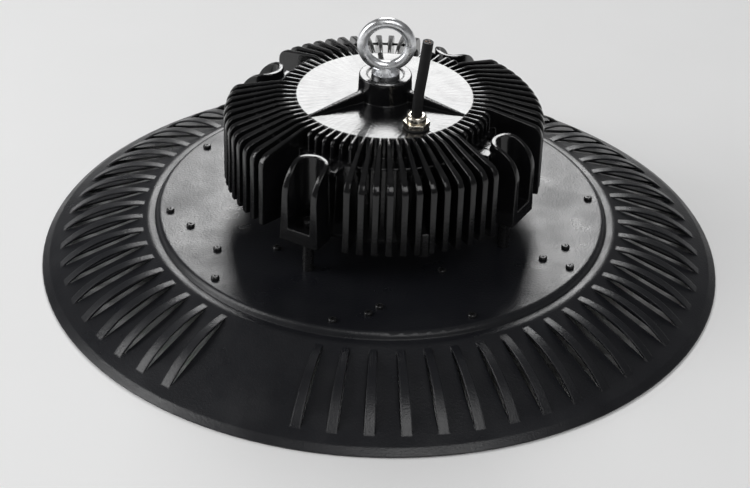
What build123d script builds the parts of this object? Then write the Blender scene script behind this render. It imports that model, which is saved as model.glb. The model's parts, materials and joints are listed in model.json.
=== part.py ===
from build123d import *
import os
from math import cos, hypot, pi, radians, sin, tan

# All lengths are millimetres and all angles degrees.
# The lamp stands on the rim of its shade, the axis is Z and the rim plane is z = 0.
# Angles run counter-clockwise seen from above, with 0 along +X.

# Shade: one pressed and painted aluminium sheet
SHADE_DIAMETER = 416.0
SHEET = 1.2
PLATE_HEIGHT = 33.0
PLATE_RADIUS = 136.5
STEP_DEPTH = 3.8
STEP_RUN = 1.9
LAND_WIDTH = 4.8
STEP_EDGE_RADIUS = 3.0
SKIRT_BEND_RADIUS = 6.0
LIP_LENGTH = 4.4
LIP_ANGLE = 35.0

# Louvres: lanced bridges that stand up out of the skirt
LOUVRE_PLACES = 60
LOUVRE_COUNT = 57
LOUVRE_INNER = 146.0
LOUVRE_MARGIN = 6.6
LOUVRE_ANGLE = 1.75
LOUVRE_RISE = 5.7
FIRST_LOUVRE_ANGLE = 257.2

# Driver housing: one die casting with radial fins
HOUSING_DIAMETER = 192.0
DISC_HEIGHT = 110.6
DISC_RADIUS = 53.2
WALL = 3.0
NECK_FOOT_RADIUS = 55.5
LEDGE_DROP = 12.1
LEDGE_RADIUS = 67.9
DRUM_FOOT_RADIUS = 70.0
DRUM_FOOT_HEIGHT = 52.0
FIN_PLACES = 72
FIN_FOOT_HEIGHT = 57.3
FIN_INNER_THICKNESS = 1.9
FIN_OUTER_THICKNESS = 4.0
FIN_FLAT_RADIUS = 63.6
FIN_SLOPE = 15.0
FIN_CORNER_RADIUS = 8.0
SHORT_FIN_RADIUS = 65.5
SHORT_FIN_CORNER_RADIUS = 4.0
FINS_PER_POCKET = 6
PATTERN_ANGLE = 285.5
TIE_RING_RADIUS = 77.2
TIE_RING_WIDTH = 1.0
TIE_RING_DEPTH = 1.5
TIE_RING_DROP = 2.0
TIE_BLOCK_TOP = 71.0
TIE_BLOCK_FOOT = 55.5
TIE_BLOCK_WIDTH = 6.0
TIE_BLOCK_RECESS = 0.3

# Screw pockets in the housing
POCKETS = 4
POCKET_PITCH_RADIUS = 84.5
POCKET_WIDTH = 25.7
POCKET_DRAFT = 2.2
POCKET_SLOT = 14.2
POCKET_SLOT_DRAFT = 1.3
POCKET_WEB_WIDTH = 15.0
POCKET_FOOT_HEIGHT = 55.8
POCKET_FLOOR = 8.7
POCKET_TOP_RISE = 6.0
POCKET_CORNER_RADIUS = 19.0

# Boss and ribs on the disc
BOSS_RADIUS = 16.2
BOSS_DRAFT = 0.5
BOSS_HEIGHT = 14.0
BOSS_RECESS_RADIUS = 11.0
BOSS_RECESS = 0.8
BOSS_UNDERSIDE_RADIUS = 12.0
BOSS_UNDERSIDE_DEPTH = 7.0
RIBS = 3
FIRST_RIB_ANGLE = 94.0
RIB_WIDTH_IN = 4.4
RIB_WIDTH_OUT = 2.0
RIB_HEIGHT_IN = 7.0
RIB_HEIGHT_OUT = 0.6

# Lifting eyebolt
EYE_WIRE = 6.5
EYE_OUTER_DIAMETER = 34.7
EYE_COLLAR_RADIUS = 8.4
EYE_COLLAR = 2.2
EYE_NECK_RADIUS = 6.0
EYE_NECK_RISE = 1.2
EYE_CENTRE_LIFT = 20.0
EYE_THREAD_RADIUS = 4.0
EYE_THREAD = 16.0
THREAD_END_GAP = 2.0

# Cable gland
GLAND_X = 18.7
GLAND_Y = -37.9
GLAND_THREAD_RADIUS = 6.0
GLAND_THREAD = 9.0
GLAND_BORE_RADIUS = 4.0
GLAND_FLATS = 14.0
GLAND_HEX = 3.2
GLAND_WASHER = 0.8
GLAND_WASHER_RADIUS = 7.6
GLAND_COLLAR_RADIUS = 4.9
GLAND_COLLAR = 2.6
CAP_RADIUS = 5.9
CAP_HEIGHT = 4.2
CAP_LIP = 1.0
CAP_CORNER = 1.6
SEAL_DEPTH = 3.0
LOCK_NUT_FLATS = 14.0
LOCK_NUT = 3.0

# Cord: a short stub that rises out of the gland.
# Its route runs from the sealed end to the cut end, as steps from the middle of the cap's top.
CORD_RADIUS = 3.15
CORD_FROM_CAP = [(0.0, 0.0, -10.8), (0.0, 0.0, 8.6), (2.7, -0.3, 28.1), (4.8, -0.6, 47.6)]

# Spacers and long screws that carry the housing on the shade
SPACER_RADIUS = 3.5
HOUSING_SCREW_RADIUS = 2.0
HOUSING_SCREW_HEAD_RADIUS = 3.8
HOUSING_SCREW_HEAD = 3.0
HOUSING_SCREW_END = 28.6
SCREW_CLEARANCE = 0.25

# Housing base, which closes the drum and carries the driver board
BASE_RADIUS = 69.6
BASE_THICKNESS = 2.5
BASE_SCREWS = 4
BASE_SCREW_PITCH = 62.8
BASE_SCREW_RADIUS = 1.5
BASE_SCREW_LENGTH = 9.0
BASE_BOSS_RADIUS = 4.2
BASE_BOSS_HEIGHT = 12.0
PILLAR_X = 38.0
PILLAR_Y = 26.0
PILLAR_RADIUS = 3.5
PILLAR_HEIGHT = 8.0

# Driver board, whose tall parts fill shares of the room above it
BOARD_LENGTH = 90.0
BOARD_WIDTH = 64.0
BOARD_THICKNESS = 1.6
BOARD_SCREW_RADIUS = 1.25
BOARD_SCREW_LENGTH = 7.0
TRANSFORMER_X = -14.0
TRANSFORMER_CORE = (28.0, 12.0)
TRANSFORMER_SHARE = 0.59
TRANSFORMER_WINDING_RADIUS = 10.5
TRANSFORMER_YOKE = 3.0
CHOKE_X = 14.0
CHOKE_Y = 12.0
CHOKE_RADIUS = 8.0
CHOKE_SHARE = 0.28
CAPACITORS = 3
CAPACITOR_X = 12.0
CAPACITOR_Y = -14.0
CAPACITOR_SPACING = 13.5
CAPACITOR_RADIUS = 5.0
CAPACITOR_SHARE = 0.51
TERMINAL_X = -34.0
TERMINAL_BLOCK = (10.0, 18.0)
TERMINAL_SHARE = 0.31
TERMINAL_PORTS = 3
TERMINAL_PITCH = 5.0
TERMINAL_PORT_RADIUS = 1.6
TERMINAL_PORT_DEPTH = 7.0

# Grommets for the wires between the driver and the light engine
WIRE_HOLE_RADIUS = 5.0
GROMMET_FLANGE_RADIUS = 7.0
GROMMET_FLANGE = 1.0
GROMMET_BORE_RADIUS = 3.0

# Light engine below the plate
HEAT_PLATE_RADIUS = 121.0
HEAT_PLATE = 4.0
LED_BOARD_RADIUS = 114.0
LED_BOARD = 1.6
LED_SIZE = 5.0
LED_HEIGHT = 0.8
LED_RINGS = 3
LEDS_PER_RING = 6
FIRST_LED_RADIUS = 36.0
LED_RING_SPACING = 30.0
LENS_RADIUS = 120.7
LENS = 2.5
LENS_OVERLAP = 4.0
LENS_RING_RADIUS = 133.0
LENS_RING_DROP = 14.0
LENS_RING_FLANGE = 2.0
GASKET_WIDTH = 4.5
EDGE_CLEARANCE = 0.3

# Screws that show on the plate, as rings of screws from the outside in
PLATE_SCREW_RADIUS = 1.5
RING_SCREWS = 10
RING_SCREW_PITCH = 129.0
RING_SCREW_ANGLE = 6.5
RING_SCREW_LENGTH = 9.0
CLAMP_SCREWS = 5
CLAMP_SCREW_PITCH = 118.6
CLAMP_SCREW_ANGLE = 51.3
HEAT_SCREWS = 6
HEAT_SCREW_PITCH = 111.5
HEAT_SCREW_ANGLE = 30.3
INNER_SCREW_PITCH = 81.0
INNER_SCREW_ANGLES = (41.0, 117.0, 221.0, 297.0)
HEAT_SCREW_LENGTH = 4.6

# Pan heads of the small screws
HEAD_RADIUS = 2.5
HEAD_HEIGHT = 1.9
HEAD_EDGE = 0.6

# Places that follow from the sizes above
LOUVRE_OUTER = SHADE_DIAMETER / 2 - LIP_LENGTH - LOUVRE_MARGIN
LEDGE_HEIGHT = DISC_HEIGHT - LEDGE_DROP
POCKET_TOP_HEIGHT = LEDGE_HEIGHT + POCKET_TOP_RISE
PLATE_UNDERSIDE = PLATE_HEIGHT - SHEET
HEAT_PLATE_FOOT = PLATE_UNDERSIDE - HEAT_PLATE
LED_BOARD_FOOT = HEAT_PLATE_FOOT - LED_BOARD
LENS_RING_FOOT = PLATE_UNDERSIDE - LENS_RING_DROP
LENS_FOOT = LENS_RING_FOOT + LENS_RING_FLANGE
BASE_FOOT = DRUM_FOOT_HEIGHT - BASE_THICKNESS
BOARD_FOOT = DRUM_FOOT_HEIGHT + PILLAR_HEIGHT
BOARD_TOP = BOARD_FOOT + BOARD_THICKNESS
POCKET_FLOOR_TOP = POCKET_FOOT_HEIGHT + POCKET_FLOOR
EYE_SEAT = DISC_HEIGHT + BOSS_HEIGHT - BOSS_RECESS
GLAND_SEAT = DISC_HEIGHT + GLAND_WASHER
CAP_SEAT = GLAND_SEAT + GLAND_HEX
CAP_TOP = CAP_SEAT + CAP_HEIGHT
CORD_ROUTE = [(GLAND_X + x, GLAND_Y + y, CAP_TOP + z) for x, y, z in CORD_FROM_CAP]
DRIVER_ROOM = DISC_HEIGHT - WALL - BOSS_UNDERSIDE_DEPTH - BOARD_TOP


def polar(radius, angle, z=0.0):
    return Vector(radius * cos(radians(angle)), radius * sin(radians(angle)), z)


def outline(points):
    return make_face(Polyline(*points, close=True))


def revolved(face, start=0.0, angle=360.0):
    """A section in r and z turned about the axis of the lamp."""
    return Rot(0, 0, start) * revolve(Plane.XZ * face, Axis.Z, angle)


def disc(radius, bottom, top, x=0.0, y=0.0):
    return Pos(x, y, bottom) * extrude(Circle(radius), top - bottom)


def ring_places(count, pitch_radius, first_angle=0.0):
    """Places of a ring of screws, as x and y."""
    return [polar(pitch_radius, first_angle + k * 360 / count) for k in range(count)]


def discs(places, radius, bottom, top):
    return [disc(radius, bottom, top, at.X, at.Y) for at in places]


def ring_screw_places():
    return ring_places(RING_SCREWS, RING_SCREW_PITCH, RING_SCREW_ANGLE)


def heat_screw_places():
    inner = [polar(INNER_SCREW_PITCH, angle) for angle in INNER_SCREW_ANGLES]
    clamp = ring_places(CLAMP_SCREWS, CLAMP_SCREW_PITCH, CLAMP_SCREW_ANGLE)
    return ring_places(HEAT_SCREWS, HEAT_SCREW_PITCH, HEAT_SCREW_ANGLE) + clamp + inner


def housing_screw_places():
    return [polar(POCKET_PITCH_RADIUS, angle) for angle in pocket_angles()]


def base_screw_places():
    return ring_places(BASE_SCREWS, BASE_SCREW_PITCH)


def board_screw_places():
    return [Vector(x, y) for x in (-PILLAR_X, PILLAR_X) for y in (-PILLAR_Y, PILLAR_Y)]


def shade_line():
    """Corners of the top line of the sheet, from the axis out to the rim."""
    rim = SHADE_DIAMETER / 2
    rim_z = SHEET * cos(radians(LIP_ANGLE))
    lip_r = rim - LIP_LENGTH
    lip_z = rim_z + LIP_LENGTH * tan(radians(LIP_ANGLE))
    land_z = PLATE_HEIGHT - STEP_DEPTH
    land_r = PLATE_RADIUS + STEP_RUN
    return [
        (0, PLATE_HEIGHT),
        (PLATE_RADIUS, PLATE_HEIGHT),
        (land_r, land_z),
        (land_r + LAND_WIDTH, land_z),
        (lip_r, lip_z),
        (rim, rim_z),
    ]


def skirt_point(radius, depth=0.0):
    """A point of the straight skirt at a radius on its top, sunk by a depth along its normal."""
    line = shade_line()
    (r0, z0), (r1, z1) = line[3], line[4]
    run = hypot(r1 - r0, z1 - z0)
    normal = ((z0 - z1) / run, (r1 - r0) / run)
    z = z0 + (radius - r0) * (z1 - z0) / (r1 - r0)
    return radius - depth * normal[0], z - depth * normal[1]


def louvre_arch():
    """Section of one bridge: an arched strip of the sheet, rooted at both ends of its slot."""
    middle = (LOUVRE_INNER + LOUVRE_OUTER) / 2
    top = [skirt_point(LOUVRE_INNER), skirt_point(middle, -LOUVRE_RISE), skirt_point(LOUVRE_OUTER)]
    low = [
        skirt_point(LOUVRE_OUTER, SHEET),
        skirt_point(middle, SHEET - LOUVRE_RISE),
        skirt_point(LOUVRE_INNER, SHEET),
    ]
    edges = [ThreePointArc(*top), Line(top[2], low[0]), ThreePointArc(*low), Line(low[2], top[0])]
    return make_face(edges)


def louvre_slot():
    return outline([
        skirt_point(LOUVRE_INNER, -SHEET),
        skirt_point(LOUVRE_OUTER, -SHEET),
        skirt_point(LOUVRE_OUTER, 2 * SHEET),
        skirt_point(LOUVRE_INNER, 2 * SHEET),
    ])


def make_shade():
    corners = shade_line()
    bends = FilletPolyline(*corners[:3], radius=STEP_EDGE_RADIUS).edges()
    bends += FilletPolyline(*corners[2:5], radius=SKIRT_BEND_RADIUS).edges()
    top = Wire([*bends, *Line(*corners[4:]).edges()])
    sheet = revolved(make_face(offset(top, amount=SHEET, side=Side.RIGHT, kind=Kind.INTERSECTION)))
    pitch = 360 / LOUVRE_PLACES
    places = [FIRST_LOUVRE_ANGLE + k * pitch for k in range(LOUVRE_COUNT)]
    slot = revolved(louvre_slot(), -LOUVRE_ANGLE / 2, LOUVRE_ANGLE)
    arch = revolved(louvre_arch(), -LOUVRE_ANGLE / 2, LOUVRE_ANGLE)
    holes = discs(ring_screw_places() + heat_screw_places(), PLATE_SCREW_RADIUS + SCREW_CLEARANCE, 0, DISC_HEIGHT)
    holes += discs(housing_screw_places(), HOUSING_SCREW_RADIUS + SCREW_CLEARANCE, 0, DISC_HEIGHT)
    holes.append(disc(WIRE_HOLE_RADIUS, 0, DISC_HEIGHT))
    sheet = sheet - [*[Rot(0, 0, angle) * slot for angle in places], *holes]
    return sheet + [Rot(0, 0, angle) * arch for angle in places]


def fin_top(radius):
    return DISC_HEIGHT - max(0.0, radius - FIN_FLAT_RADIUS) * tan(radians(FIN_SLOPE))


def drum_radius(z):
    """Outer radius of the drum, which has a casting draft."""
    share = (LEDGE_HEIGHT - z) / (LEDGE_HEIGHT - DRUM_FOOT_HEIGHT)
    return LEDGE_RADIUS + share * (DRUM_FOOT_RADIUS - LEDGE_RADIUS)


def tapered(section, inner, inner_width, outer, outer_width):
    """A radial plate of a section in r and z, with its thickness growing or shrinking outwards."""
    plan = outline([
        (inner, -inner_width / 2),
        (outer, -outer_width / 2),
        (outer, outer_width / 2),
        (inner, inner_width / 2),
    ])
    wedge = extrude(plan, 2 * DISC_HEIGHT)
    return extrude(Plane.XZ * section, max(inner_width, outer_width), both=True) & wedge


def fin_thickness(radius):
    span = HOUSING_DIAMETER / 2 - NECK_FOOT_RADIUS
    growth = (FIN_OUTER_THICKNESS - FIN_INNER_THICKNESS) / span
    return FIN_INNER_THICKNESS + (radius - NECK_FOOT_RADIUS) * growth


def fin_roots():
    """The middle of the wall that fins grow from, from the disc's edge down to the ledge."""
    half = WALL / 2
    return [
        (LEDGE_RADIUS - half, LEDGE_HEIGHT - half),
        (NECK_FOOT_RADIUS - half, LEDGE_HEIGHT - half),
        (DISC_RADIUS - half, DISC_HEIGHT),
    ]


def full_fin():
    rim = HOUSING_DIAMETER / 2
    top = FilletPolyline(
        (FIN_FLAT_RADIUS, DISC_HEIGHT),
        (rim, fin_top(rim)),
        (rim, FIN_FOOT_HEIGHT),
        radius=FIN_CORNER_RADIUS,
    )
    foot = (drum_radius(FIN_FOOT_HEIGHT) - WALL / 2, FIN_FOOT_HEIGHT)
    rest = Polyline((rim, FIN_FOOT_HEIGHT), foot, *fin_roots(), (FIN_FLAT_RADIUS, DISC_HEIGHT))
    section = make_face([*top.edges(), *rest.edges()])
    root = DISC_RADIUS - WALL
    return tapered(section, root, fin_thickness(root), rim + 1, fin_thickness(rim + 1))


def short_fin():
    edge = SHORT_FIN_RADIUS
    low = LEDGE_HEIGHT - WALL / 2
    top = FilletPolyline(
        (DISC_RADIUS - WALL / 2, DISC_HEIGHT), (edge, DISC_HEIGHT), (edge, low), radius=SHORT_FIN_CORNER_RADIUS
    )
    rest = Polyline((edge, low), *fin_roots()[1:])
    section = make_face([*top.edges(), *rest.edges()])
    root = DISC_RADIUS - WALL
    return tapered(section, root, fin_thickness(root), edge + 1, fin_thickness(edge + 1))


def housing_core():
    """Disc, neck, ledge and drum as one wall, with the boss on the disc."""
    line = Polyline(
        (0, DISC_HEIGHT),
        (DISC_RADIUS, DISC_HEIGHT),
        (NECK_FOOT_RADIUS, LEDGE_HEIGHT),
        (LEDGE_RADIUS, LEDGE_HEIGHT),
        (DRUM_FOOT_RADIUS, DRUM_FOOT_HEIGHT),
    )
    wall = revolved(make_face(offset(line, amount=WALL, side=Side.RIGHT, kind=Kind.INTERSECTION)))
    wall = wall - disc(HOUSING_DIAMETER, 0, DRUM_FOOT_HEIGHT)
    boss_top = EYE_SEAT + BOSS_RECESS
    boss = revolved(outline([
        (0, DISC_HEIGHT - WALL / 2),
        (BOSS_RADIUS, DISC_HEIGHT - WALL / 2),
        (BOSS_RADIUS, DISC_HEIGHT),
        (BOSS_RADIUS - BOSS_DRAFT, boss_top),
        (BOSS_RECESS_RADIUS, boss_top),
        (BOSS_RECESS_RADIUS, EYE_SEAT),
        (0, EYE_SEAT),
    ]))
    inside = DISC_HEIGHT - WALL
    underside = disc(BOSS_UNDERSIDE_RADIUS, inside - BOSS_UNDERSIDE_DEPTH, DISC_HEIGHT)
    return wall + [boss, underside]


def rib():
    section = outline([
        (BOSS_RADIUS - BOSS_DRAFT - 1, DISC_HEIGHT - 1),
        (DISC_RADIUS - 1, DISC_HEIGHT - 1),
        (DISC_RADIUS - 1, DISC_HEIGHT + RIB_HEIGHT_OUT),
        (BOSS_RADIUS - BOSS_DRAFT - 1, DISC_HEIGHT + RIB_HEIGHT_IN),
    ])
    return tapered(section, BOSS_RADIUS - 3, RIB_WIDTH_IN, DISC_RADIUS, RIB_WIDTH_OUT)


def horseshoe(half_width):
    """Plan of a pocket or its slot: round towards the axis and open past the rim of the housing."""
    run = HOUSING_DIAMETER / 2 - POCKET_PITCH_RADIUS + half_width
    plan = Circle(half_width) + Pos(run / 2, 0) * Rectangle(run, 2 * half_width)
    return Pos(POCKET_PITCH_RADIUS, 0) * plan


def pocket():
    """The solid block of one screw pocket, on a web from the drum."""
    rim = HOUSING_DIAMETER / 2
    height = POCKET_TOP_HEIGHT - POCKET_FOOT_HEIGHT
    block = Pos(0, 0, POCKET_FOOT_HEIGHT) * extrude(horseshoe(POCKET_WIDTH / 2), height, taper=POCKET_DRAFT)
    top = FilletPolyline(
        (0, POCKET_TOP_HEIGHT), (rim, POCKET_TOP_HEIGHT), (rim, POCKET_FOOT_HEIGHT), radius=POCKET_CORNER_RADIUS
    )
    rest = Polyline((rim, POCKET_FOOT_HEIGHT), (0, POCKET_FOOT_HEIGHT), (0, POCKET_TOP_HEIGHT))
    side = make_face([*top.edges(), *rest.edges()])
    block = block & extrude(Plane.XZ * side, POCKET_WIDTH, both=True)
    root = DRUM_FOOT_RADIUS - WALL
    web_run = POCKET_PITCH_RADIUS - root
    web_height = LEDGE_HEIGHT - POCKET_FOOT_HEIGHT
    web = Pos(root + web_run / 2, 0, POCKET_FOOT_HEIGHT + web_height / 2) * Box(
        web_run, POCKET_WEB_WIDTH, web_height
    )
    shelf_run = web_run - POCKET_SLOT / 2
    shelf = Pos(root + shelf_run / 2, 0, LEDGE_HEIGHT - WALL / 2) * Box(shelf_run, POCKET_WIDTH, WALL)
    return block + [web, shelf]


def pocket_slot():
    """What is cut from a pocket: a slot that is open outwards, the screw's bore and the spacer's seat."""
    height = POCKET_TOP_HEIGHT - POCKET_FLOOR_TOP
    slot = Pos(0, 0, POCKET_FLOOR_TOP) * extrude(horseshoe(POCKET_SLOT / 2), height, taper=-POCKET_SLOT_DRAFT)
    bore = disc(HOUSING_SCREW_RADIUS + SCREW_CLEARANCE, 0, POCKET_TOP_HEIGHT, POCKET_PITCH_RADIUS)
    return slot + [bore, disc(SPACER_RADIUS + EDGE_CLEARANCE, 0, POCKET_FOOT_HEIGHT, POCKET_PITCH_RADIUS)]


def pocket_angles():
    first = PATTERN_ANGLE - 180 / POCKETS
    return [first + k * 360 / POCKETS for k in range(POCKETS)]


def fin_angles():
    """Angles of the full fins and of the short fins, which stand behind the pockets."""
    pitch = 360 / FIN_PLACES
    full = []
    short = []
    for k in range(FIN_PLACES):
        angle = PATTERN_ANGLE + (k + 0.5) * pitch
        offsets = [abs((angle - at + 180) % 360 - 180) for at in pocket_angles()]
        behind = min(offsets) < FINS_PER_POCKET / 2 * pitch
        (short if behind else full).append(angle)
    return full, short


def tie_bar():
    """One piece of the thin ring that joins the full fins just below their tops."""
    top = fin_top(TIE_RING_RADIUS) - TIE_RING_DROP
    bar = Box(TIE_RING_WIDTH, fin_thickness(TIE_RING_RADIUS) + FIN_INNER_THICKNESS, TIE_RING_DEPTH)
    return Pos(TIE_RING_RADIUS, 0, top - TIE_RING_DEPTH / 2) * bar


def tie_bar_angles():
    """The middles of the gaps between two full fins that stand side by side."""
    full, _ = fin_angles()
    pitch = 360 / FIN_PLACES
    starts = {round(angle % 360, 3) for angle in full}
    return [angle + pitch / 2 for angle in full if round((angle + pitch) % 360, 3) in starts]


def tie_block():
    root = drum_radius(TIE_BLOCK_TOP) - WALL / 2
    run = HOUSING_DIAMETER / 2 - TIE_BLOCK_RECESS - root
    height = TIE_BLOCK_TOP - TIE_BLOCK_FOOT
    block = Box(run, TIE_BLOCK_WIDTH, height)
    return Rot(0, 0, PATTERN_ANGLE) * Pos(root + run / 2, 0, TIE_BLOCK_FOOT + height / 2) * block


def make_driver_housing():
    full, short = fin_angles()
    fin = full_fin()
    stub = short_fin()
    seat = pocket()
    slot = pocket_slot()
    bar = tie_bar()
    ridge = rib()
    added = [Rot(0, 0, angle) * fin for angle in full]
    added += [Rot(0, 0, angle) * stub for angle in short]
    added += [Rot(0, 0, angle) * seat for angle in pocket_angles()]
    added += [Rot(0, 0, angle) * bar for angle in tie_bar_angles()]
    added += [Rot(0, 0, FIRST_RIB_ANGLE + k * 360 / RIBS) * ridge for k in range(RIBS)]
    added += discs(base_screw_places(), BASE_BOSS_RADIUS, DRUM_FOOT_HEIGHT, DRUM_FOOT_HEIGHT + BASE_BOSS_HEIGHT)
    added.append(tie_block())
    screw_top = BASE_FOOT + BASE_SCREW_LENGTH + THREAD_END_GAP
    cut = discs(base_screw_places(), BASE_SCREW_RADIUS, 0, screw_top)
    cut += [Rot(0, 0, angle) * slot for angle in pocket_angles()]
    cut.append(disc(EYE_THREAD_RADIUS, EYE_SEAT - EYE_THREAD - THREAD_END_GAP, 2 * DISC_HEIGHT))
    gland_hole = GLAND_THREAD_RADIUS + SCREW_CLEARANCE
    cut.append(disc(gland_hole, LEDGE_HEIGHT, 2 * DISC_HEIGHT, GLAND_X, GLAND_Y))
    return housing_core() + added - cut


def make_eyebolt():
    major = (EYE_OUTER_DIAMETER - EYE_WIRE) / 2
    centre = EYE_SEAT + EYE_CENTRE_LIFT
    ring = Pos(0, 0, centre) * Rot(90, 0, 0) * Torus(major, EYE_WIRE / 2)
    collar_top = EYE_SEAT + EYE_COLLAR
    stem = revolved(outline([
        (0, EYE_SEAT - EYE_THREAD),
        (EYE_THREAD_RADIUS, EYE_SEAT - EYE_THREAD),
        (EYE_THREAD_RADIUS, EYE_SEAT),
        (EYE_COLLAR_RADIUS, EYE_SEAT),
        (EYE_COLLAR_RADIUS, collar_top),
        (EYE_NECK_RADIUS, collar_top + EYE_NECK_RISE),
        (0.4 * EYE_WIRE, centre - major),
        (0, centre - major),
    ]))
    return stem + ring


def hexagon(flats, bottom, top):
    shape = RegularPolygon(flats / 2, 6, major_radius=False)
    return Pos(GLAND_X, GLAND_Y, bottom) * extrude(shape, top - bottom)


def at_gland(shape):
    return Pos(GLAND_X, GLAND_Y, 0) * shape


def make_gland_body():
    thread = disc(GLAND_THREAD_RADIUS, GLAND_SEAT - GLAND_THREAD, GLAND_SEAT, GLAND_X, GLAND_Y)
    collar = disc(GLAND_COLLAR_RADIUS, CAP_SEAT, CAP_SEAT + GLAND_COLLAR, GLAND_X, GLAND_Y)
    body = hexagon(GLAND_FLATS, GLAND_SEAT, CAP_SEAT) + [thread, collar]
    return body - disc(GLAND_BORE_RADIUS, 0, 2 * DISC_HEIGHT, GLAND_X, GLAND_Y)


def make_gland_cap():
    hole = CORD_RADIUS + EDGE_CLEARANCE / 2
    shell = FilletPolyline((CAP_RADIUS, CAP_SEAT), (CAP_RADIUS, CAP_TOP), (hole, CAP_TOP), radius=CAP_CORNER)
    rest = Polyline(
        (hole, CAP_TOP),
        (hole, CAP_TOP - CAP_LIP),
        (GLAND_COLLAR_RADIUS, CAP_TOP - CAP_LIP),
        (GLAND_COLLAR_RADIUS, CAP_SEAT),
        (CAP_RADIUS, CAP_SEAT),
    )
    return at_gland(revolved(make_face([*shell.edges(), *rest.edges()])))


def make_gland_seal():
    sleeve = disc(GLAND_BORE_RADIUS, CAP_SEAT - SEAL_DEPTH, CAP_TOP - CAP_LIP, GLAND_X, GLAND_Y)
    return sleeve - disc(CORD_RADIUS, 0, 2 * DISC_HEIGHT, GLAND_X, GLAND_Y)


def make_gland_washer():
    washer = disc(GLAND_WASHER_RADIUS, DISC_HEIGHT, GLAND_SEAT, GLAND_X, GLAND_Y)
    return washer - disc(GLAND_THREAD_RADIUS, 0, 2 * DISC_HEIGHT, GLAND_X, GLAND_Y)


def make_gland_locknut():
    inside = DISC_HEIGHT - WALL
    nut = hexagon(LOCK_NUT_FLATS, inside - LOCK_NUT, inside)
    return nut - disc(GLAND_THREAD_RADIUS, 0, 2 * DISC_HEIGHT, GLAND_X, GLAND_Y)


def cord_radii():
    """Each bend is as large as its two runs allow."""
    points = [Vector(*point) for point in CORD_ROUTE]
    radii = []
    for before, here, after in zip(points, points[1:], points[2:]):
        turn = (here - before).get_angle(after - here)
        shorter = min((here - before).length, (after - here).length)
        radii.append(0.45 * shorter / tan(radians(turn / 2)))
    return radii


def make_power_cord():
    radii = cord_radii()
    path = FilletPolyline(*CORD_ROUTE, radius=radii)
    section = Plane(origin=path @ 0, z_dir=path % 0) * Circle(CORD_RADIUS)
    cord = sweep(section, path=path)
    expected = pi * CORD_RADIUS**2 * path.length
    print("cord radii", [round(radius) for radius in radii], "length", round(path.length, 1))
    print("cord volume", round(cord.volume, 1), "section times length", round(expected, 1))
    return cord


def make_spacers():
    bore = HOUSING_SCREW_RADIUS + SCREW_CLEARANCE
    outer = discs(housing_screw_places(), SPACER_RADIUS, PLATE_HEIGHT, POCKET_FOOT_HEIGHT)
    return Compound(children=[tube - disc(bore, 0, DISC_HEIGHT, at.X, at.Y)
                              for tube, at in zip(outer, housing_screw_places())])


def make_housing_screws():
    head_top = POCKET_FLOOR_TOP + HOUSING_SCREW_HEAD
    screw = disc(HOUSING_SCREW_RADIUS, HOUSING_SCREW_END, POCKET_FLOOR_TOP)
    screw += disc(HOUSING_SCREW_HEAD_RADIUS, POCKET_FLOOR_TOP, head_top)
    return Compound(children=[Pos(at.X, at.Y, 0) * screw for at in housing_screw_places()])


def pan_screws(places, radius, length, seat, upside_down=False):
    """Screws of one kind, each with a domed head on its seat and its shank below."""
    head_line = FilletPolyline(
        (0, HEAD_HEIGHT), (HEAD_RADIUS, HEAD_HEIGHT), (HEAD_RADIUS, 0), radius=HEAD_EDGE
    )
    rest = Polyline((HEAD_RADIUS, 0), (radius, 0), (radius, -length), (0, -length), (0, HEAD_HEIGHT))
    screw = revolved(make_face([*head_line.edges(), *rest.edges()]))
    if upside_down:
        screw = Rot(180, 0, 0) * screw
    return Compound(children=[Pos(at.X, at.Y, seat) * screw for at in places])


def make_housing_base():
    base = disc(BASE_RADIUS, BASE_FOOT, DRUM_FOOT_HEIGHT)
    base = base + discs(board_screw_places(), PILLAR_RADIUS, DRUM_FOOT_HEIGHT, BOARD_FOOT)
    screw_end = BOARD_TOP - BOARD_SCREW_LENGTH - THREAD_END_GAP / 2
    holes = discs(base_screw_places(), BASE_SCREW_RADIUS + SCREW_CLEARANCE, 0, DRUM_FOOT_HEIGHT)
    holes += discs(board_screw_places(), BOARD_SCREW_RADIUS, screw_end, DISC_HEIGHT)
    holes += discs(housing_screw_places(), SPACER_RADIUS + EDGE_CLEARANCE, 0, DRUM_FOOT_HEIGHT)
    holes.append(disc(WIRE_HOLE_RADIUS, 0, DISC_HEIGHT))
    return base - holes


def make_driver_board():
    board = Pos(0, 0, (BOARD_FOOT + BOARD_TOP) / 2) * Box(BOARD_LENGTH, BOARD_WIDTH, BOARD_THICKNESS)
    return board - discs(board_screw_places(), BOARD_SCREW_RADIUS + SCREW_CLEARANCE, 0, DISC_HEIGHT)


def make_transformer():
    length, width = TRANSFORMER_CORE
    height = TRANSFORMER_SHARE * DRIVER_ROOM
    core = Pos(TRANSFORMER_X, 0, BOARD_TOP + height / 2) * Box(length, width, height)
    foot = BOARD_TOP + TRANSFORMER_YOKE
    top = BOARD_TOP + height - TRANSFORMER_YOKE
    return core + disc(TRANSFORMER_WINDING_RADIUS, foot, top, TRANSFORMER_X)


def make_output_choke():
    return disc(CHOKE_RADIUS, BOARD_TOP, BOARD_TOP + CHOKE_SHARE * DRIVER_ROOM, CHOKE_X, CHOKE_Y)


def make_capacitors():
    places = [Vector(CAPACITOR_X + k * CAPACITOR_SPACING, CAPACITOR_Y) for k in range(CAPACITORS)]
    return Compound(children=discs(places, CAPACITOR_RADIUS, BOARD_TOP, BOARD_TOP + CAPACITOR_SHARE * DRIVER_ROOM))


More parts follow.
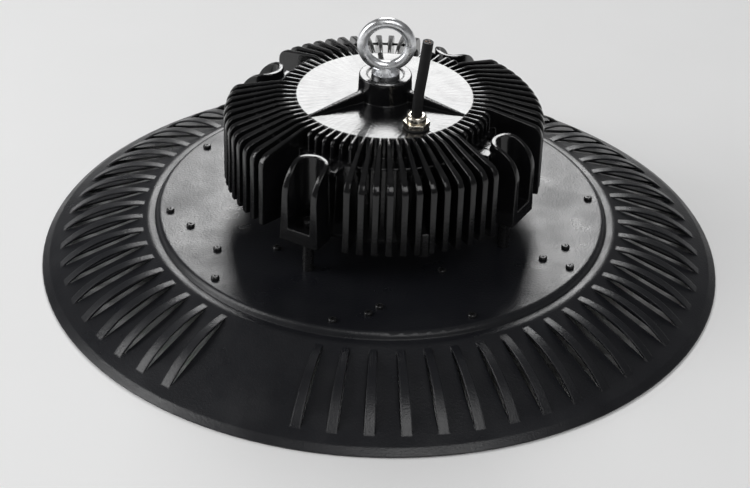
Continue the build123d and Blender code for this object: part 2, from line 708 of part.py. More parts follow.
def make_terminal_block():
    length, width = TERMINAL_BLOCK
    height = TERMINAL_SHARE * DRIVER_ROOM
    block = Pos(TERMINAL_X, 0, BOARD_TOP + height / 2) * Box(length, width, height)
    ports = []
    for k in range(TERMINAL_PORTS):
        y = (k - (TERMINAL_PORTS - 1) / 2) * TERMINAL_PITCH
        at = Pos(TERMINAL_X - length / 2 + TERMINAL_PORT_DEPTH / 2, y, BOARD_TOP + height / 2)
        ports.append(at * Rot(0, 90, 0) * Cylinder(TERMINAL_PORT_RADIUS, TERMINAL_PORT_DEPTH))
    return block - ports


def grommet(bottom, top):
    """A rubber grommet in a round hole of a sheet, with a flange on each side."""
    body = disc(WIRE_HOLE_RADIUS, bottom, top)
    upper = disc(GROMMET_FLANGE_RADIUS, top, top + GROMMET_FLANGE)
    lower = disc(GROMMET_FLANGE_RADIUS, bottom - GROMMET_FLANGE, bottom)
    return body + [upper, lower] - disc(GROMMET_BORE_RADIUS, 0, DISC_HEIGHT)


def make_heat_plate():
    plate = disc(HEAT_PLATE_RADIUS, HEAT_PLATE_FOOT, PLATE_UNDERSIDE)
    holes = discs(heat_screw_places(), PLATE_SCREW_RADIUS, PLATE_HEIGHT - HEAT_SCREW_LENGTH, PLATE_HEIGHT)
    holes += discs(housing_screw_places(), HOUSING_SCREW_RADIUS, HOUSING_SCREW_END, PLATE_HEIGHT)
    holes.append(disc(GROMMET_FLANGE_RADIUS + EDGE_CLEARANCE, 0, PLATE_HEIGHT))
    return plate - holes


def make_led_board():
    board = disc(LED_BOARD_RADIUS, LED_BOARD_FOOT, HEAT_PLATE_FOOT)
    return board - disc(GROMMET_FLANGE_RADIUS + EDGE_CLEARANCE, 0, PLATE_HEIGHT)


def make_led_emitters():
    emitters = []
    for ring in range(LED_RINGS):
        radius = FIRST_LED_RADIUS + ring * LED_RING_SPACING
        for at in ring_places(LEDS_PER_RING * (ring + 1), radius):
            emitter = Box(LED_SIZE, LED_SIZE, LED_HEIGHT)
            emitters.append(Pos(at.X, at.Y, LED_BOARD_FOOT - LED_HEIGHT / 2) * emitter)
    return Compound(children=emitters)


def make_lens():
    return disc(LENS_RADIUS, LENS_FOOT, LENS_FOOT + LENS)


def make_lens_gasket():
    gasket = disc(LENS_RADIUS, LENS_FOOT + LENS, HEAT_PLATE_FOOT)
    return gasket - disc(LENS_RADIUS - GASKET_WIDTH, 0, PLATE_HEIGHT)


def make_lens_ring():
    inner = HEAT_PLATE_RADIUS + EDGE_CLEARANCE
    ring = disc(LENS_RING_RADIUS, LENS_RING_FOOT, PLATE_UNDERSIDE) - disc(inner, LENS_FOOT, PLATE_HEIGHT)
    ring = ring - disc(LENS_RADIUS - LENS_OVERLAP, 0, PLATE_HEIGHT)
    depth = PLATE_HEIGHT - RING_SCREW_LENGTH - THREAD_END_GAP / 2
    return ring - discs(ring_screw_places(), PLATE_SCREW_RADIUS, depth, PLATE_HEIGHT)


os.makedirs("parts", exist_ok=True)
pieces = {
    "shade": make_shade(),
    "driver_housing": make_driver_housing(),
    "eyebolt": make_eyebolt(),
    "gland_body": make_gland_body(),
    "gland_cap": make_gland_cap(),
    "gland_seal": make_gland_seal(),
    "gland_washer": make_gland_washer(),
    "gland_locknut": make_gland_locknut(),
    "power_cord": make_power_cord(),
    "spacers": make_spacers(),
    "housing_screws": make_housing_screws(),
    "housing_base": make_housing_base(),
    "base_screws": pan_screws(base_screw_places(), BASE_SCREW_RADIUS, BASE_SCREW_LENGTH, BASE_FOOT, True),
    "driver_board": make_driver_board(),
    "board_screws": pan_screws(board_screw_places(), BOARD_SCREW_RADIUS, BOARD_SCREW_LENGTH, BOARD_TOP),
    "transformer": make_transformer(),
    "output_choke": make_output_choke(),
    "capacitors": make_capacitors(),
    "terminal_block": make_terminal_block(),
    "base_grommet": grommet(BASE_FOOT, DRUM_FOOT_HEIGHT),
    "plate_grommet": grommet(PLATE_UNDERSIDE, PLATE_HEIGHT),
    "heat_plate": make_heat_plate(),
    "led_board": make_led_board(),
    "led_emitters": make_led_emitters(),
    "lens": make_lens(),
    "lens_gasket": make_lens_gasket(),
    "lens_ring": make_lens_ring(),
    "ring_screws": pan_screws(ring_screw_places(), PLATE_SCREW_RADIUS, RING_SCREW_LENGTH, PLATE_HEIGHT),
    "plate_screws": pan_screws(heat_screw_places(), PLATE_SCREW_RADIUS, HEAT_SCREW_LENGTH, PLATE_HEIGHT),
}
for name, piece in pieces.items():
    export_step(piece, f"parts/{name}.step")
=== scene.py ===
"""High bay light: finishes, small pieces and stage, laid out as an add-on and run as a script."""

import bpy
import json
from math import cos, pi, radians, sin
from bpy.props import FloatProperty, FloatVectorProperty, IntProperty, PointerProperty
from bpy.types import Operator, Panel, PropertyGroup
from mathutils import Matrix, Vector

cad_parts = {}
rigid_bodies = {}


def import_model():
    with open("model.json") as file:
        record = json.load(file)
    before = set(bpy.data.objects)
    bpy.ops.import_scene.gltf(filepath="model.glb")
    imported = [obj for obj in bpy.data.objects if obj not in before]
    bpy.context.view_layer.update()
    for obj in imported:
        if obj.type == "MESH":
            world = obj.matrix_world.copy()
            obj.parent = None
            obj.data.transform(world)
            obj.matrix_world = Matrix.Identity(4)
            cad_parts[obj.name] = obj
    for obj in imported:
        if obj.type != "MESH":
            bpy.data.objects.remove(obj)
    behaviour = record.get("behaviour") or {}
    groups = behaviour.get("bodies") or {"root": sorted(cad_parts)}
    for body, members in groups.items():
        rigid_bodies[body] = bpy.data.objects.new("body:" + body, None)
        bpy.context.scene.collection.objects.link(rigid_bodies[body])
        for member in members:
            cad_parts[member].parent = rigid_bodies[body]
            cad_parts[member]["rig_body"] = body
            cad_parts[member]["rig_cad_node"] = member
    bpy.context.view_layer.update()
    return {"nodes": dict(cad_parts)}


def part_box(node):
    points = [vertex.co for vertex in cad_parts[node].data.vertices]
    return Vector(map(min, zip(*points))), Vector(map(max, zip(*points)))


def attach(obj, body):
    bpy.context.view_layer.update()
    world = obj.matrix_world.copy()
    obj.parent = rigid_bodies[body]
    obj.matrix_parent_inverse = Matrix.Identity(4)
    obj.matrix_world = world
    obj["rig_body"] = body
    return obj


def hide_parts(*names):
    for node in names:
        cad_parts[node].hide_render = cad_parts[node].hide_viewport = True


bl_info = {
    "name": "High bay light",
    "version": (1, 0, 0),
    "blender": (4, 5, 0),
    "location": "3D View > Sidebar > High Bay",
    "description": "Finishes a high bay light: paint, castings, screws, cord and a studio",
    "category": "Object",
}

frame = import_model()
NODES = frame["nodes"]

# Height of the pan heads on the plate
HEAD_HEIGHT = 0.0019

# Places that the solids give
PLATE_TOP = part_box("ring_screws")[1].z - HEAD_HEIGHT
LENS_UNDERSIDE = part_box("lens")[0].z

# Before the edges of a solid's copy are rounded, points this close are joined, faces this close in
# angle are made one, and a flat face with more corners than this is cut into triangles
SAME_POINT = 0.000002
SAME_FACE = radians(0.6)
LARGE_FACE = 24

# Edges flatter than this are shaded smooth on a piece with rounded edges
SMOOTH_ANGLE = radians(38)

# A face whose normal has less height than this looks down
DOWNWARD = -0.9

# Most of a noise texture's values lie between these two
NOISE_LOW = 0.3
NOISE_HIGH = 0.7


def length(name, text, value, low=0.0, high=1.0):
    return FloatProperty(
        name=name,
        description=text,
        default=value,
        min=low,
        max=high,
        unit="LENGTH",
        subtype="DISTANCE",
    )


def share(name, text, value):
    return FloatProperty(
        name=name, description=text, default=value, min=0.0, max=1.0, subtype="FACTOR"
    )


def colour(name, text, value):
    return FloatVectorProperty(
        name=name, description=text, default=value, min=0.0, max=1.0, size=3, subtype="COLOR"
    )


def strength(name, text, value):
    return FloatProperty(name=name, description=text, default=value, min=0.0)


class HighBayPaint(PropertyGroup):
    """Colours and gloss of the painted and plated surfaces."""

    shade_colour: colour("Shade", "Powder coat of the shade", (0.0085, 0.009, 0.0115))
    shade_roughness: share("Shade roughness", "Gloss of the powder coat", 0.31)
    casting_colour: colour("Casting", "Paint of the driver housing", (0.005, 0.005, 0.0055))
    casting_roughness: share("Casting roughness", "Gloss of the paint on the casting", 0.13)
    zinc_colour: colour("Zinc", "Plating of the eyebolt", (0.70, 0.71, 0.72))
    nickel_colour: colour("Nickel", "Plating of the gland", (0.74, 0.69, 0.60))
    sheath_colour: colour("Sheath", "Jacket of the power cord", (0.006, 0.006, 0.0065))


class HighBayDetail(PropertyGroup):
    """Sizes of the pieces that are modelled here."""

    casting_edge: length("Casting edge", "Rounding of the casting's edges", 0.0006, 0.0, 0.002)
    gland_edge: length("Gland edge", "Rounding of the gland's edges", 0.0004, 0.0, 0.001)
    head_radius: length("Head radius", "Radius of the pan heads on the plate", 0.0025, 0.001, 0.005)
    head_height: length(
        "Head height", "Height of the pan heads on the plate", HEAD_HEIGHT, 0.001, 0.004
    )
    shank_radius: length("Shank radius", "Radius of the screws' shanks", 0.0015, 0.0005, 0.003)
    lenslet_radius: length(
        "Lenslet radius", "Radius of the small lens under each emitter", 0.0065, 0.002, 0.01
    )
    lenslet_height: length(
        "Lenslet height", "Height of the small lens under each emitter", 0.0016, 0.0005, 0.002
    )
    ring_screws: IntProperty(
        name="Ring screws", description="Screws that hold the lens ring", default=10, min=1
    )


class HighBayStudio(PropertyGroup):
    """Camera, floor and lamps."""

    lens: FloatProperty(
        name="Lens", description="Focal length of the camera, in mm", default=102.51, min=10.0
    )
    pitch: FloatProperty(
        name="Pitch",
        description="How far the camera looks down",
        default=radians(32.72),
        subtype="ANGLE",
    )
    roll: FloatProperty(
        name="Roll", description="Roll of the camera", default=radians(1.84), subtype="ANGLE"
    )
    floor_colour: colour("Floor", "Floor and backdrop", (0.9, 0.9, 0.9))
    world_strength: strength("Ambient", "Strength of the ambient light", 0.125)
    back_power: strength("Back light", "Power of the light behind, in W", 60.0)
    left_power: strength("Left light", "Power of the left light, in W", 16.0)
    top_power: strength("Top light", "Power of the light above the front, in W", 17.0)


def only(*objects):
    """Selects these objects and nothing else, and makes the first one active."""
    bpy.ops.object.select_all(action="DESELECT")
    for item in objects:
        item.select_set(True)
    bpy.context.view_layer.objects.active = objects[0]


def pick(piece, kind, wanted):
    """Goes into edit mode with only the wanted edges or faces selected."""
    only(piece)
    bpy.ops.object.mode_set(mode="EDIT")
    bpy.ops.mesh.select_mode(type=kind)
    bpy.ops.mesh.select_all(action="DESELECT")
    bpy.ops.object.mode_set(mode="OBJECT")
    for part in piece.data.edges if kind == "EDGE" else piece.data.polygons:
        part.select = wanted(part)
    bpy.ops.object.mode_set(mode="EDIT")


def apply_modifiers(piece):
    only(piece)
    for modifier in list(piece.modifiers):
        bpy.ops.object.modifier_apply(modifier=modifier.name)


def place_in_mesh(piece):
    only(piece)
    bpy.ops.object.transform_apply(location=True, rotation=True, scale=True)


def on_circle(radius, degrees):
    return radius * cos(radians(degrees)), radius * sin(radians(degrees))


def round_circle(count, radius, first=0.0):
    """Places spread evenly round a circle, from a first angle in degrees."""
    return [on_circle(radius, first + k * 360 / count) for k in range(count)]


def joined(name, pieces):
    only(*pieces)
    if len(pieces) > 1:
        bpy.ops.object.join()
    piece = bpy.context.view_layer.objects.active
    piece.name = name
    return piece


def finish_piece(piece, finish, node=None):
    """Gives a piece its finish and its body, and hides the solid that it stands for."""
    piece.data.materials.clear()
    piece.data.materials.append(finish)
    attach(piece, "root")
    if node:
        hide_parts(node)
    return piece


def copied(piece, matrix):
    """A copy with its own mesh, at a place given by a matrix."""
    twin = piece.copy()
    twin.data = piece.data.copy()
    twin.data.transform(matrix)
    bpy.context.scene.collection.objects.link(twin)
    return twin


def solid_copy(node, name):
    """A copy of a solid's skin with its faces joined at their edges and flat faces made whole."""
    source = NODES[node]
    piece = source.copy()
    piece.data = source.data.copy()
    piece.parent = None
    piece.matrix_world = Matrix.Identity(4)
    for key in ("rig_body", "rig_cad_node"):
        if key in piece:
            del piece[key]
    piece.name = name
    bpy.context.scene.collection.objects.link(piece)
    only(piece)
    bpy.ops.object.mode_set(mode="EDIT")
    bpy.ops.mesh.select_all(action="SELECT")
    bpy.ops.mesh.remove_doubles(threshold=SAME_POINT)
    bpy.ops.mesh.dissolve_limited(angle_limit=SAME_FACE, delimit={"NORMAL"})
    bpy.ops.object.mode_set(mode="OBJECT")
    pick(piece, "FACE", lambda face: len(face.vertices) > LARGE_FACE)
    bpy.ops.mesh.quads_convert_to_tris(quad_method="BEAUTY", ngon_method="BEAUTY")
    bpy.ops.object.mode_set(mode="OBJECT")
    return piece


def bevelled(piece, width, angle=40, clamped=True):
    """Rounds the edges that turn by more than an angle in degrees, and keeps flat faces flat."""
    only(piece)
    bevel = piece.modifiers.new("Edges", "BEVEL")
    bevel.width = width
    bevel.segments = 2
    bevel.limit_method = "ANGLE"
    bevel.angle_limit = radians(angle)
    bevel.use_clamp_overlap = clamped
    apply_modifiers(piece)
    bpy.ops.object.shade_smooth_by_angle(angle=SMOOTH_ANGLE)
    level = piece.modifiers.new("Level faces", "WEIGHTED_NORMAL")
    level.keep_sharp = True
    apply_modifiers(piece)
    return piece


class Finish:
    """A material whose nodes read Object coordinates."""

    def __init__(self, name, base, roughness, metallic=0.0):
        self.material = bpy.data.materials.new(name)
        self.material.use_nodes = True
        self.tree = self.material.node_tree
        self.shader = self.tree.nodes["Principled BSDF"]
        self.base = base
        self.shader.inputs["Base Color"].default_value = (*base, 1)
        self.shader.inputs["Roughness"].default_value = roughness
        self.shader.inputs["Metallic"].default_value = metallic
        self.coordinates = self.node("ShaderNodeTexCoord").outputs["Object"]
        self.relief = None

    def node(self, kind, **values):
        made = self.tree.nodes.new(kind)
        for key, value in values.items():
            setattr(made, key, value)
        return made

    def link(self, out, into):
        self.tree.links.new(out, into)

    def stretched(self, scale):
        mapping = self.node("ShaderNodeMapping")
        mapping.inputs["Scale"].default_value = scale
        self.link(self.coordinates, mapping.inputs["Vector"])
        return mapping.outputs["Vector"]

    def noise(self, scale, detail=2.0, stretch=None):
        made = self.node("ShaderNodeTexNoise")
        made.inputs["Scale"].default_value = scale
        made.inputs["Detail"].default_value = detail
        self.link(self.stretched(stretch) if stretch else self.coordinates, made.inputs["Vector"])
        return made.outputs["Fac"]

    def cells(self, scale):
        made = self.node("ShaderNodeTexVoronoi")
        made.inputs["Scale"].default_value = scale
        self.link(self.coordinates, made.inputs["Vector"])
        return made.outputs["Distance"]

    def ranged(self, value, low, high):
        made = self.node("ShaderNodeMapRange")
        made.inputs["From Min"].default_value = NOISE_LOW
        made.inputs["From Max"].default_value = NOISE_HIGH
        made.inputs["To Min"].default_value = low
        made.inputs["To Max"].default_value = high
        self.link(value, made.inputs["Value"])
        return made.outputs["Result"]

    def shades(self, value, *colours):
        """The base colour runs through these colours as the value goes from low to high."""
        ramp = self.node("ShaderNodeValToRGB")
        points = ramp.color_ramp.elements
        points[0].position = NOISE_LOW
        points[1].position = NOISE_HIGH
        points[0].color = (*colours[0], 1)
        points[1].color = (*colours[-1], 1)
        step = (NOISE_HIGH - NOISE_LOW) / (len(colours) - 1)
        for k, middle in enumerate(colours[1:-1], 1):
            points.new(NOISE_LOW + k * step).color = (*middle, 1)
        self.link(value, ramp.inputs["Fac"])
        self.link(ramp.outputs["Color"], self.shader.inputs["Base Color"])

    def varied(self, scale, amount, detail=3.0, stretch=None):
        """The base colour is a little darker and lighter in patches."""
        dark = [channel * (1 - amount) for channel in self.base]
        light = [min(1.0, channel * (1 + amount)) for channel in self.base]
        self.shades(self.noise(scale, detail, stretch), dark, light)

    def gloss(self, low, high, scale, detail=3.0, stretch=None):
        """The roughness lies between these two in patches."""
        roughness = self.ranged(self.noise(scale, detail, stretch), low, high)
        self.link(roughness, self.shader.inputs["Roughness"])

    def bump(self, value, strength, depth):
        made = self.node("ShaderNodeBump")
        made.inputs["Strength"].default_value = strength
        made.inputs["Distance"].default_value = depth
        self.link(value, made.inputs["Height"])
        if self.relief:
            self.link(self.relief, made.inputs["Normal"])
        self.relief = made.outputs["Normal"]
        self.link(self.relief, self.shader.inputs["Normal"])

    def rounded(self, radius):
        """Edges catch the light as if they were rounded."""
        made = self.node("ShaderNodeBevel", samples=4)
        made.inputs["Radius"].default_value = radius
        self.relief = made.outputs["Normal"]
        self.link(self.relief, self.shader.inputs["Normal"])


def powder_coat(settings):
    made = Finish("Black powder coat", settings.shade_colour, settings.shade_roughness)
    made.varied(14, 0.12)
    made.gloss(settings.shade_roughness - 0.05, settings.shade_roughness + 0.08, 45)
    made.rounded(0.0012)
    made.bump(made.noise(700, 2), 0.42, 0.0003)
    made.bump(made.noise(1900, 2), 0.5, 0.00015)
    return made.material


def casting_paint(settings):
    made = Finish("Gloss black casting paint", settings.casting_colour, settings.casting_roughness)
    made.varied(40, 0.2)
    made.gloss(settings.casting_roughness - 0.05, settings.casting_roughness + 0.07, 120)
    made.rounded(0.0009)
    made.bump(made.noise(560, 2), 0.22, 0.0003)
    made.bump(made.noise(1500, 2), 0.25, 0.0001)
    return made.material


def zinc(settings):
    made = Finish("Bright zinc plating", settings.zinc_colour, 0.3, 1.0)
    made.shades(made.noise(380, 3), [0.66, 0.67, 0.69], [0.8, 0.81, 0.83], [0.9, 0.91, 0.92])
    made.gloss(0.22, 0.42, 260)
    made.bump(made.noise(520, 3), 0.3, 0.0002)
    made.bump(made.noise(2400, 2), 0.25, 0.00006)
    return made.material


def nickel(settings):
    made = Finish("Nickel plated brass", settings.nickel_colour, 0.2, 1.0)
    made.varied(300, 0.12)
    made.gloss(0.12, 0.3, 400)
    made.bump(made.noise(700, 2, (1, 1, 6)), 0.2, 0.00008)
    return made.material


def black_steel():
    made = Finish("Black oxide screws", (0.018, 0.018, 0.019), 0.28, 0.35)
    made.varied(700, 0.3)
    made.gloss(0.2, 0.36, 900)
    made.bump(made.noise(1800, 2), 0.25, 0.00006)
    return made.material


def plated_steel():
    made = Finish("Plated steel screws", (0.6, 0.6, 0.6), 0.3, 1.0)
    made.varied(500, 0.15)
    made.gloss(0.2, 0.4, 700)
    made.bump(made.noise(1500, 2), 0.2, 0.00006)
    return made.material


def black_rubber():
    made = Finish("Black rubber", (0.018, 0.018, 0.018), 0.62)
    made.varied(300, 0.25)
    made.gloss(0.52, 0.72, 500)
    made.bump(made.noise(1200, 3), 0.3, 0.0001)
    return made.material


def grey_silicone():
    made = Finish("Grey silicone rubber", (0.42, 0.42, 0.42), 0.55)
    made.varied(120, 0.1)
    made.gloss(0.45, 0.65, 300)
    made.bump(made.noise(900, 3), 0.25, 0.0001)
    return made.material


def bare_aluminium():
    made = Finish("Bare rolled aluminium", (0.66, 0.67, 0.68), 0.35, 1.0)
    made.varied(60, 0.08, 3, (1, 14, 1))
    made.gloss(0.26, 0.44, 90, 3, (1, 20, 1))
    made.bump(made.noise(260, 3, (1, 22, 1)), 0.2, 0.00008)
    return made.material


def circuit_board(name, mask, track):
    """Solder mask over a net of tracks."""
    made = Finish(name, mask, 0.3)
    bricks = made.node("ShaderNodeTexBrick")
    bricks.inputs["Scale"].default_value = 110
    bricks.inputs["Mortar Size"].default_value = 0.06
    bricks.inputs["Color1"].default_value = (*mask, 1)
    bricks.inputs["Color2"].default_value = (*[channel * 0.85 for channel in mask], 1)
    bricks.inputs["Mortar"].default_value = (*track, 1)
    made.link(made.coordinates, bricks.inputs["Vector"])
    made.link(bricks.outputs["Color"], made.shader.inputs["Base Color"])
    made.gloss(0.22, 0.38, 300)
    made.bump(bricks.outputs["Fac"], 0.2, 0.00006)
    made.bump(made.noise(900, 2), 0.15, 0.00004)
    return made.material


def wound(name, wire, tape, scale):
    """Turns of wire or tape that run round the part."""
    made = Finish(name, wire, 0.4)
    bands = made.node("ShaderNodeTexWave", wave_type="BANDS", bands_direction="Z")
    bands.inputs["Scale"].default_value = scale
    bands.inputs["Distortion"].default_value = 0.6
    made.link(made.coordinates, bands.inputs["Vector"])
    made.shades(bands.outputs["Fac"], wire, tape)
    made.gloss(0.3, 0.5, 300)
    made.bump(bands.outputs["Fac"], 0.35, 0.0002)
    return made.material


def moulded(name, base, roughness):
    made = Finish(name, base, roughness)
    made.varied(200, 0.12)
    made.gloss(roughness - 0.07, roughness + 0.08, 400)
    made.bump(made.noise(1100, 2), 0.25, 0.00008)
    return made.material


def phosphor():
    made = Finish("Yellow phosphor", (0.72, 0.55, 0.08), 0.4)
    made.shades(made.cells(900), [0.8, 0.62, 0.1], [0.66, 0.48, 0.05])
    made.gloss(0.3, 0.5, 900)
    made.bump(made.noise(2500, 2), 0.2, 0.00004)
    return made.material


def lens_plastic():
    """Clear polycarbonate with a fine frosted grain."""
    made = Finish("Frosted polycarbonate", (0.86, 0.88, 0.89), 0.3)
    made.varied(50, 0.03)
    made.gloss(0.22, 0.4, 150)
    made.bump(made.cells(1300), 0.12, 0.0001)
    made.shader.inputs["Transmission Weight"].default_value = 0.75
    made.shader.inputs["IOR"].default_value = 1.58
    return made.material


def cord_sheath(settings):
    made = Finish("Cord sheath", settings.sheath_colour, 0.42)
    made.varied(160, 0.25)
    made.gloss(0.4, 0.6, 220)
    made.shader.inputs["Specular IOR Level"].default_value = 0.25
    made.bump(made.noise(800, 3, (1, 1, 0.15)), 0.3, 0.0001)
    return made.material


def core_ends():
    """Dark insulation with a few flecks of copper."""
    made = Finish("Cut cores", (0.03, 0.02, 0.015), 0.45)
    made.shades(made.cells(2600), [0.02, 0.014, 0.01], [0.03, 0.02, 0.015], [0.3, 0.14, 0.07])
    made.gloss(0.35, 0.6, 1500)
    made.bump(made.cells(2600), 0.5, 0.0001)
    return made.material


class HIGHBAY_OT_studio(Operator):
    """Makes the floor, the camera and the lamps"""

    bl_idname = "highbay.studio"
    bl_label = "Studio"

    floor_size = 9.0
    floor_height = -0.0001
    ambient = (1, 1, 1, 1)
    backdrop = (0.73, 0.73, 0.73, 1)
    camera_place = (-0.0030, -1.1182, 0.7228)
    sensor_width = 36.0
    near_limit = 0.05

    def lamp(self, name, place, target, size, power):
        bpy.ops.object.light_add(type="AREA", location=place)
        lamp = bpy.context.object
        lamp.name = name
        lamp.data.shape = "RECTANGLE"
        lamp.data.size, lamp.data.size_y = size
        lamp.data.energy = power
        toward = Vector(target) - Vector(place)
        lamp.rotation_euler = toward.to_track_quat("-Z", "Y").to_euler()

    def floor_finish(self, settings):
        made = Finish("Pale studio floor", settings.floor_colour, 0.8)
        made.varied(3, 0.01)
        made.gloss(0.75, 0.85, 20)
        made.bump(made.noise(60, 2), 0.05, 0.0002)
        return made.material

    def execute(self, context):
        settings = context.scene.highbay_studio
        scene = context.scene
        scene.view_settings.view_transform = "Standard"
        bpy.ops.object.select_all(action="DESELECT")
        bpy.ops.mesh.primitive_plane_add(size=self.floor_size, location=(0, 0, self.floor_height))
        floor = bpy.context.object
        floor.name = "studio_floor"
        place_in_mesh(floor)
        floor.data.materials.append(self.floor_finish(settings))

        world = bpy.data.worlds.new("Studio world")
        scene.world = world
        world.use_nodes = True
        tree = world.node_tree
        soft = tree.nodes["Background"]
        soft.inputs["Color"].default_value = self.ambient
        soft.inputs["Strength"].default_value = settings.world_strength
        seen = tree.nodes.new("ShaderNodeBackground")
        seen.inputs["Color"].default_value = self.backdrop
        path = tree.nodes.new("ShaderNodeLightPath")
        mix = tree.nodes.new("ShaderNodeMixShader")
        tree.links.new(path.outputs["Is Camera Ray"], mix.inputs["Fac"])
        tree.links.new(soft.outputs["Background"], mix.inputs[1])
        tree.links.new(seen.outputs["Background"], mix.inputs[2])
        tree.links.new(mix.outputs["Shader"], tree.nodes["World Output"].inputs["Surface"])

        bpy.ops.object.camera_add(location=self.camera_place)
        camera = bpy.context.object
        camera.name = "studio_camera"
        camera.data.sensor_width = self.sensor_width
        camera.data.sensor_fit = "HORIZONTAL"
        camera.data.lens = settings.lens
        camera.data.clip_start = self.near_limit
        right = Vector((1, 0, 0))
        up = Vector((0, sin(settings.pitch), cos(settings.pitch)))
        across = cos(settings.roll) * right + sin(settings.roll) * up
        upward = cos(settings.roll) * up - sin(settings.roll) * right
        behind = across.cross(upward)
        camera.rotation_euler = Matrix((across, upward, behind)).transposed().to_euler()
        scene.camera = camera

        lamps = (
            ("back_softbox", (0.0, 3.1, 2.1), (0, 0, 0.1), (1.4, 1.5), settings.back_power),
            ("left_softbox", (-1.5, -0.2, 0.8), (0, 0, 0.05), (0.8, 1.4), settings.left_power),
            ("top_softbox", (0.5, -1.3, 1.9), (0, 0, 0.05), (1.4, 1.4), settings.top_power),
        )
        for name, place, target, size, power in lamps:
            self.lamp(name, place, target, size, power)
        return {"FINISHED"}


class HIGHBAY_OT_cord(Operator):
    """Makes the power cord and the cores at its cut end"""

    bl_idname = "highbay.cord"
    bl_label = "Power cord"

    # The route from the sealed end in the gland to the cut end, in millimetres
    route = ((18.7, -37.9, 108.0), (18.7, -37.9, 127.4), (21.4, -38.2, 146.9), (23.5, -38.5, 166.4))
    sheath_radius = 0.00315

    # Each core is a short pin, and its middle lies this far below the sheath's cut
    cores = 3
    core_radius = 0.0008
    core_circle = 0.00135
    core_length = 0.0024
    core_sink = 0.0009
    core_edge = 0.0002
    first_core_angle = 0.4

    def core(self, middle, axis, angle):
        """One core, just proud of the sheath's cut."""
        aside = axis.orthogonal().normalized()
        place = middle + self.core_circle * (Matrix.Rotation(angle, 3, axis) @ aside)
        bpy.ops.object.select_all(action="DESELECT")
        bpy.ops.mesh.primitive_cylinder_add(
            vertices=20, radius=self.core_radius, depth=self.core_length, location=place
        )
        core = bpy.context.object
        core.rotation_euler = axis.to_track_quat("Z", "Y").to_euler()
        place_in_mesh(core)
        return bevelled(core, self.core_edge)

    def execute(self, context):
        paint = context.scene.highbay_paint
        points = [Vector(point) / 1000 for point in self.route]
        line = bpy.data.curves.new("power_cord_line", "CURVE")
        line.dimensions = "3D"
        spline = line.splines.new("NURBS")
        spline.points.add(len(points) - 1)
        for knot, point in zip(spline.points, points):
            knot.co = (*point, 1)
        spline.order_u = 3
        spline.use_endpoint_u = True
        spline.resolution_u = 12
        line.bevel_depth = self.sheath_radius
        line.bevel_resolution = 8
        line.use_fill_caps = True
        cord = bpy.data.objects.new("power_cord_sheath", line)
        context.scene.collection.objects.link(cord)
        finish_piece(cord, cord_sheath(paint), "power_cord")
        axis = (points[-1] - points[-2]).normalized()
        middle = points[-1] - self.core_sink * axis
        angles = [k * 2 * pi / self.cores + self.first_core_angle for k in range(self.cores)]
        cores = [self.core(middle, axis, angle) for angle in angles]
        cores = finish_piece(joined("cord_cores", cores), core_ends(), None)
        return {"FINISHED"}


class HIGHBAY_OT_shade(Operator):
    """Paints the louvred shade"""

    bl_idname = "highbay.shade"
    bl_label = "Louvred shade"

    def execute(self, context):
        coat = powder_coat(context.scene.highbay_paint)
        node = NODES["shade"]
        node.data.materials.clear()
        node.data.materials.append(coat)
        return {"FINISHED"}


class HIGHBAY_OT_housing(Operator):
    """Makes the driver housing with the rounded edges of a die casting"""

    bl_idname = "highbay.housing"
    bl_label = "Driver housing"

    def execute(self, context):
        detail = context.scene.highbay_detail
        casting = solid_copy("driver_housing", "driver_casting")
        bevelled(casting, detail.casting_edge, angle=50, clamped=False)
        finish_piece(casting, casting_paint(context.scene.highbay_paint), "driver_housing")
        return {"FINISHED"}


class HIGHBAY_OT_gland(Operator):
    """Makes the cable gland with rounded edges"""

    bl_idname = "highbay.gland"
    bl_label = "Cable gland"

    def execute(self, context):
        detail = context.scene.highbay_detail
        plating = nickel(context.scene.highbay_paint)
        for node, name in (("gland_body", "gland_hexagon"), ("gland_cap", "gland_dome")):
            piece = solid_copy(node, name)
            bevelled(piece, detail.gland_edge)
            finish_piece(piece, plating, node)
        return {"FINISHED"}


